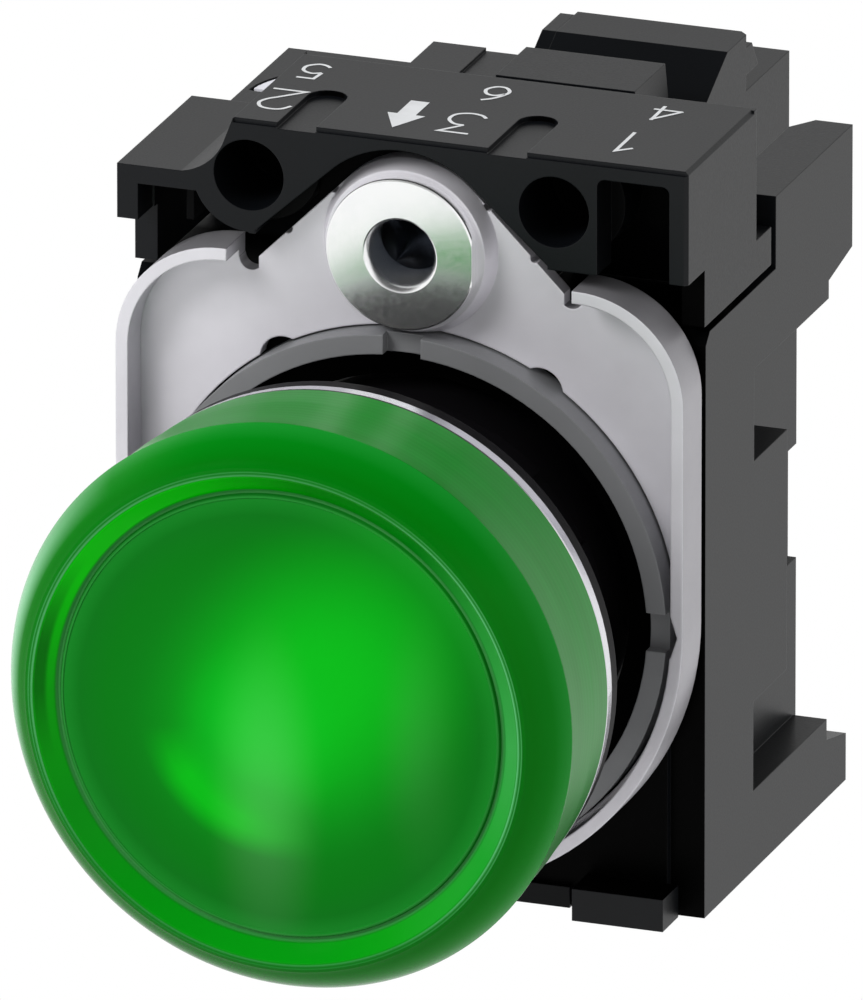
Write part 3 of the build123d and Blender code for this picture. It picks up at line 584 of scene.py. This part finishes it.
# Pieces
def new_piece(name, bm, body, materials):
    """Link a finished bmesh as an object that rides on a body of the frame."""
    mesh = bpy.data.meshes.new(name)
    bm.to_mesh(mesh)
    bm.free()
    piece = bpy.data.objects.new(name, mesh)
    scene.collection.objects.link(piece)
    for material in materials:
        mesh.materials.append(material)
    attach(piece, body)
    return piece


def look_of(node):
    """The material that a solid of the frame wears."""
    return nodes[node].data.materials[0]


def join_rings(bm, rings, count):
    """Faces between neighbouring rings of points, of which a ring of one point is a pole."""
    for first, second in zip(rings, rings[1:]):
        for index in range(count):
            after = (index + 1) % count
            corners = [first[index % len(first)], first[after % len(first)]]
            corners += [second[after % len(second)], second[index % len(second)]]
            loop = list(dict.fromkeys(corners))
            if len(loop) > 2:
                bm.faces.new(loop)
    bmesh.ops.recalc_face_normals(bm, faces=bm.faces)


def smooth(bm, sharp):
    """Smooth shading but for edges that turn by more than an angle in degrees."""
    for face in bm.faces:
        face.smooth = True
    for edge in bm.edges:
        if len(edge.link_faces) == 2 and edge.calc_face_angle() > math.radians(sharp):
            edge.smooth = False


def curve_points(first, bend, last, count):
    """Points on a simple curve that leaves first and reaches last towards bend."""
    points = []
    for index in range(count + 1):
        t = index / count
        points.append(
            tuple(
                (1 - t) ** 2 * first[k] + 2 * t * (1 - t) * bend[k] + t * t * last[k]
                for k in range(2)
            )
        )
    return points


def lens_profile():
    """The cap's outside and inside as (radius, y) in millimetres, from its back edge inwards."""
    lo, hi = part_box("lens")
    front = lo[1] / MM
    back = hi[1] / MM
    widest = hi[0] / MM
    wall = [
        (widest - 0.47, back),
        (widest - 0.34, back - 2.3),
        (widest - 0.27, back - 2.42),
        (widest - 0.2, back - 4.2),
        (widest - 0.03, back - 6.1),
        (widest, back - 6.38),
    ]
    bevel = curve_points(
        (widest, back - 6.45),
        (widest - 0.42, front + 1.0),
        (RIDGE_R + 0.4, front + 0.2),
        BEVEL_STEPS,
    )
    crest = [
        (RIDGE_R + 0.3, front + 0.1),
        (RIDGE_R + 0.14, front + 0.01),
        (RIDGE_R - 0.06, front),
        (RIDGE_R - 0.2, front + 0.06),
        (RIDGE_R - 0.34, front + 0.2),
    ]
    slope = [(WINDOW_R + 0.26, front + 0.8), (WINDOW_R + 0.14, front + 0.9)]
    groove = [
        (WINDOW_R + 0.04, front + 0.9),
        (WINDOW_R - 0.04, front + 0.74),
        (WINDOW_R - 0.16, front + 0.71),
    ]
    window = []
    for index in range(WINDOW_STEPS + 1):
        out = (WINDOW_R - 0.2) * (1 - index / WINDOW_STEPS)
        share = out / WINDOW_R
        window.append((out, front + 0.78 - WINDOW_RISE * (1 - share * share)))
    inner_r = widest - 1.74
    inside = [
        (0.0, front + 0.78 - WINDOW_RISE + 1.3),
        (WINDOW_R, front + 2.15),
        (inner_r, front + 3.4),
        (inner_r, back),
    ]
    return wall + bevel + crest + slope + groove + window + inside


def make_lens():
    """One turned cap: grooved side wall, rounded bevel, raised ridge and a shallow dished window."""
    bm = bmesh.new()
    rings = []
    for radius, y in lens_profile():
        if radius == 0:
            rings.append([bm.verts.new((0, y * MM, 0))])
            continue
        ring = []
        for index in range(LENS_SEGMENTS):
            turn = 2 * math.pi * index / LENS_SEGMENTS
            ring.append(bm.verts.new((radius * math.cos(turn) * MM, y * MM, radius * math.sin(turn) * MM)))
        rings.append(ring)
    rings.append(rings[0])
    join_rings(bm, rings, LENS_SEGMENTS)
    smooth(bm, LENS_SHARP)
    wall_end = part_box("lens")[1][1] - LENS_WALL * MM
    for face in bm.faces:
        middle = face.calc_center_median()
        if middle.y > wall_end:
            face.material_index = 1
        elif math.hypot(middle.x, middle.z) < (WINDOW_R + 0.05) * MM:
            face.material_index = 2
    piece = new_piece("lens_cap", bm, "unit", (lens_face(), lens_wall(), lens_window()))
    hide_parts("lens")


def make_latch():
    """The latch's leaf, lifted until it lies almost flush in its pocket."""
    bm = bmesh.new()
    bm.from_mesh(nodes["latch_spring_left"].data)
    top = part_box("latch_spring_left")[1][2]
    for vert in bm.verts:
        if vert.co.z > top - LEAF_DEPTH * MM:
            vert.co.z += LEAF_LIFT * MM
    piece = new_piece("latch_leaf", bm, "unit", (look_of("latch_spring_left"),))
    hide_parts("latch_spring_left")


def make_pocket_wall():
    """The web that closes the room under the cover towards the back, with a rounded foot."""
    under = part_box("holder_cover")[0][2]
    top = under + WALL_TOP * MM
    foot = under + WALL_FOOT * MM
    left, right = (x * MM for x in WALL_X)
    bend = WALL_ROUND * MM
    outline = [(left, foot + bend), (left + bend, foot), (right - bend, foot), (right, foot + bend)]
    outline += [(right, top), (left, top)]
    bm = bmesh.new()
    rows = []
    for y in WALL_Y:
        rows.append([bm.verts.new((x, y * MM, z)) for x, z in outline])
    bm.faces.new(rows[0])
    bm.faces.new(rows[1])
    for index in range(len(outline)):
        after = (index + 1) % len(outline)
        bm.faces.new((rows[0][index], rows[0][after], rows[1][after], rows[1][index]))
    bmesh.ops.recalc_face_normals(bm, faces=bm.faces)
    new_piece("pocket_wall", bm, "unit", (look_of("holder_cover"),))


def bush_profile():
    """The bush's outside and bore as (radius, y) in millimetres from its face, from the back inwards."""
    return [
        (3.0, 4.0),
        (3.0, BUSH_FLANGE),
        (3.96, BUSH_FLANGE),
        (3.96, -0.08),
        (3.93, -0.16),
        (3.85, -0.21),
        (3.2, -0.225),
        (2.5, -0.24),
        (1.96, -0.25),
        (BUSH_BORE, -0.22),
        (1.82, -0.13),
        (1.74, 0.0),
        (1.69, 0.16),
        (1.69, 4.0),
    ]


def make_bush():
    """The polished bush: a nearly flat face, a rounded lip, one flat, and a bore on the screw's axis."""
    joints = frame["record"]["behaviour"]["joints"]
    screw = next(joint for joint in joints if joint["name"] == "clamp_screw_turn")
    _, face_y, axis_z = screw["pos_m"]
    _, forward, upward = screw["axis"]
    lean = upward / forward
    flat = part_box("clamp_bush")[1][0]
    bm = bmesh.new()
    rings = []
    for radius, along in bush_profile():
        shift = lean * (along + BUSH_CROSSING) if radius < BUSH_BORE else 0.0
        ring = []
        for index in range(BUSH_SEGMENTS):
            turn = 2 * math.pi * index / BUSH_SEGMENTS
            x = radius * math.cos(turn) * MM
            z = (radius * math.sin(turn) + shift) * MM
            if along <= BUSH_FLANGE:
                x = min(x, flat)
            ring.append(bm.verts.new((x, face_y + along * MM, axis_z + z)))
        rings.append(ring)
    rings.append(rings[0])
    join_rings(bm, rings, BUSH_SEGMENTS)
    smooth(bm, BUSH_SHARP)
    piece = new_piece("bush_head", bm, "unit", (look_of("clamp_bush"),))
    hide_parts("clamp_bush")


# Digits as strokes in a unit box, with the reader behind the lamp; a bent stroke is drawn smooth
DIGITS = {
    "1": (("straight", ((0.18, 0.78), (0.58, 1.0), (0.58, 0.0))),),
    "2": (
        (
            "bent",
            (
                (0.0, 0.76),
                (0.2, 0.95),
                (0.5, 1.0),
                (0.82, 0.94),
                (0.98, 0.74),
                (0.86, 0.54),
                (0.6, 0.38),
            ),
        ),
        ("straight", ((0.64, 0.405), (0.0, 0.0), (1.0, 0.0))),
    ),
    "3": (
        ("straight", ((0.05, 1.0), (0.95, 1.0), (0.42, 0.6))),
        (
            "bent",
            (
                (0.42, 0.6),
                (0.72, 0.58),
                (0.98, 0.38),
                (0.92, 0.12),
                (0.55, 0.0),
                (0.2, 0.04),
                (0.0, 0.16),
            ),
        ),
    ),
    "4": (
        ("straight", ((0.74, 0.0), (0.74, 1.03))),
        ("straight", ((0.78, 1.0), (0.0, 0.25))),
        ("straight", ((0.0, 0.28), (1.0, 0.28))),
    ),
    "5": (
        ("straight", ((0.92, 1.0), (0.2, 1.0), (0.12, 0.55))),
        (
            "bent",
            (
                (0.12, 0.55),
                (0.5, 0.65),
                (0.92, 0.5),
                (0.96, 0.2),
                (0.6, 0.0),
                (0.25, 0.02),
                (0.0, 0.14),
            ),
        ),
    ),
    "6": (
        (
            "bent",
            (
                (0.78, 1.0),
                (0.4, 0.82),
                (0.08, 0.5),
                (0.02, 0.24),
                (0.3, 0.01),
                (0.7, 0.01),
                (0.98, 0.26),
                (0.8, 0.54),
                (0.42, 0.6),
                (0.1, 0.44),
            ),
        ),
    ),
}


def smooth_stroke(points, steps=8):
    """A stroke rounded through its points."""
    out = []
    ends = [points[0], *points, points[-1]]
    for index in range(len(points) - 1):
        a, b, c, d = (Vector(p) for p in ends[index:index + 4])
        for step in range(steps):
            t = step / steps
            squared = (2 * a - 5 * b + 4 * c - d) * t * t
            cubed = (3 * b - a - 3 * c + d) * t ** 3
            out.append(0.5 * (2 * b + (c - a) * t + squared + cubed))
    out.append(Vector(points[-1]))
    return out


def ribbon(bm, points, width, z):
    """A flat printed line of even width along points."""
    rows = []
    for index, point in enumerate(points):
        before = points[max(index - 1, 0)]
        after = points[min(index + 1, len(points) - 1)]
        into = (point - before).normalized() if index > 0 else (after - point).normalized()
        out = (after - point).normalized() if index < len(points) - 1 else into
        middle = (into + out).normalized()
        side = Vector((-middle.y, middle.x))
        reach = width / 2 / max(0.35, side.dot(Vector((-into.y, into.x))))
        rows.append([bm.verts.new((*(point + side * s * reach), z)) for s in (-1, 1)])
    for first, second in zip(rows, rows[1:]):
        bm.faces.new((first[0], second[0], second[1], first[1]))


def make_marks():
    """Terminal numbers and the release arrow, printed on the cover's top."""
    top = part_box("holder_cover")[1][2] + MARK_LIFT * MM
    places = (
        ("2", -7.62, 10.8, BIG_MARK),
        ("3", 2.1, 10.6, BIG_MARK),
        ("1", 10.72, 10.75, BIG_MARK),
        ("5", -7.5, 15.3, SMALL_MARK),
        ("6", 2.1, 15.2, SMALL_MARK),
        ("4", 11.05, 15.32, FOUR_MARK),
    )
    bm = bmesh.new()
    for digit, x, y, (wide, high) in places:
        for order, (kind, points) in enumerate(DIGITS[digit]):
            line = smooth_stroke(points) if kind == "bent" else [Vector(p) for p in points]
            placed = [
                Vector(((x - (p.x - 0.5) * wide) * MM, (y - (p.y - 0.5) * high) * MM)) for p in line
            ]
            ribbon(bm, placed, MARK_STROKE * MM, top + order * MARK_STEP * MM)
    tip_x, tip_y = ARROW_TIP
    head_x, head_y = ARROW_HEAD
    stem_x, stem_y = ARROW_STEM
    head = ((tip_x, tip_y), (tip_x + head_x, tip_y + head_y), (tip_x - head_x, tip_y + head_y))
    stem = (
        (tip_x - stem_x, tip_y + head_y),
        (tip_x + stem_x, tip_y + head_y),
        (tip_x + stem_x, tip_y + stem_y),
        (tip_x - stem_x, tip_y + stem_y),
    )
    for shape in (head, stem):
        bm.faces.new([bm.verts.new((px * MM, py * MM, top)) for px, py in shape])
    new_piece("cover_marks", bm, "unit", (paint("mark_ink", srgb(226, 228, 230), 0.5),))


# Stage and lights
def seen_by(m, *names):
    """One for the named kinds of ray, nought for the rest."""
    path = m.add("ShaderNodeLightPath")
    total = path.outputs[names[0]]
    for name in names[1:]:
        total = m.math("MAXIMUM", total, path.outputs[name])
    return total


def show_where_seen(m, lit, shown, output):
    """The second shader where a camera, glossy or transmission ray looks, and the first elsewhere."""
    mix = m.add("ShaderNodeMixShader")
    m.link(seen_by(m, "Is Camera Ray", "Is Glossy Ray", "Is Transmission Ray"), mix.inputs["Fac"])
    m.link(lit, mix.inputs[1])
    m.link(shown, mix.inputs[2])
    m.link(mix.outputs["Shader"], m.tree.nodes[output].inputs["Surface"])


def make_stage():
    """A floor that keeps the shadow and looks white."""
    mesh = bpy.data.meshes.new("floor")
    bm = bmesh.new()
    bmesh.ops.create_grid(bm, x_segments=1, y_segments=1, size=FLOOR_HALF)
    bm.to_mesh(mesh)
    bm.free()
    floor = bpy.data.objects.new("floor", mesh)
    scene.collection.objects.link(floor)
    floor.location = (0, 0, FLOOR_Z)
    m = new_look("floor_white")
    m.shader.inputs["Base Color"].default_value = (0.8, 0.8, 0.8, 1)
    m.shader.inputs["Roughness"].default_value = 0.9
    floor.data.materials.append(m.mat)
    shine = m.add("ShaderNodeEmission", Strength=1.0)
    show_where_seen(m, m.shader.outputs["BSDF"], shine.outputs["Emission"], "Material Output")


def make_world():
    """An even soft light, seen as plain white, but under a dark ceiling in what is glossy."""
    world = bpy.data.worlds.new("world")
    scene.world = world
    m = Nodes(world)
    _, _, up = m.split(m.add("ShaderNodeTexCoord").outputs["Generated"])
    height = m.span(up, 0.0, 1.0, -1.0, 1.0)
    background = m.tree.nodes["Background"]
    background.inputs["Strength"].default_value = SKY_STRENGTH
    m.link(m.ramp(height, greys(*SKY)), background.inputs["Color"])
    white = m.add("ShaderNodeBackground", Strength=1.0)
    straight = seen_by(m, "Is Camera Ray", "Is Transmission Ray")
    m.link(m.mix(straight, m.ramp(height, greys(*CEILING)), (1.0, 1.0, 1.0)), white.inputs["Color"])
    show_where_seen(m, background.outputs["Background"], white.outputs["Background"], "World Output")


def lamp(name, place, watts):
    data = bpy.data.lights.new(name, "AREA")
    data.shape = "DISK"
    data.size = LAMP_SIZE
    data.energy = watts
    obj = bpy.data.objects.new(name, data)
    scene.collection.objects.link(obj)
    obj.location = place
    direction = Vector(place) - Vector(LAMP_TARGET)
    obj.rotation_mode = "QUATERNION"
    obj.rotation_quaternion = direction.to_track_quat("Z", "Y")
    obj.visible_glossy = False


def make_lights():
    make_world()
    lamp("key", KEY_PLACE, KEY_WATTS)
    lamp("right", RIGHT_PLACE, RIGHT_WATTS)


scene.view_settings.view_transform = "Standard"
make_camera()
dress_all()
make_lens()
make_bush()
make_latch()
make_pocket_wall()
make_marks()
make_stage()
make_lights()
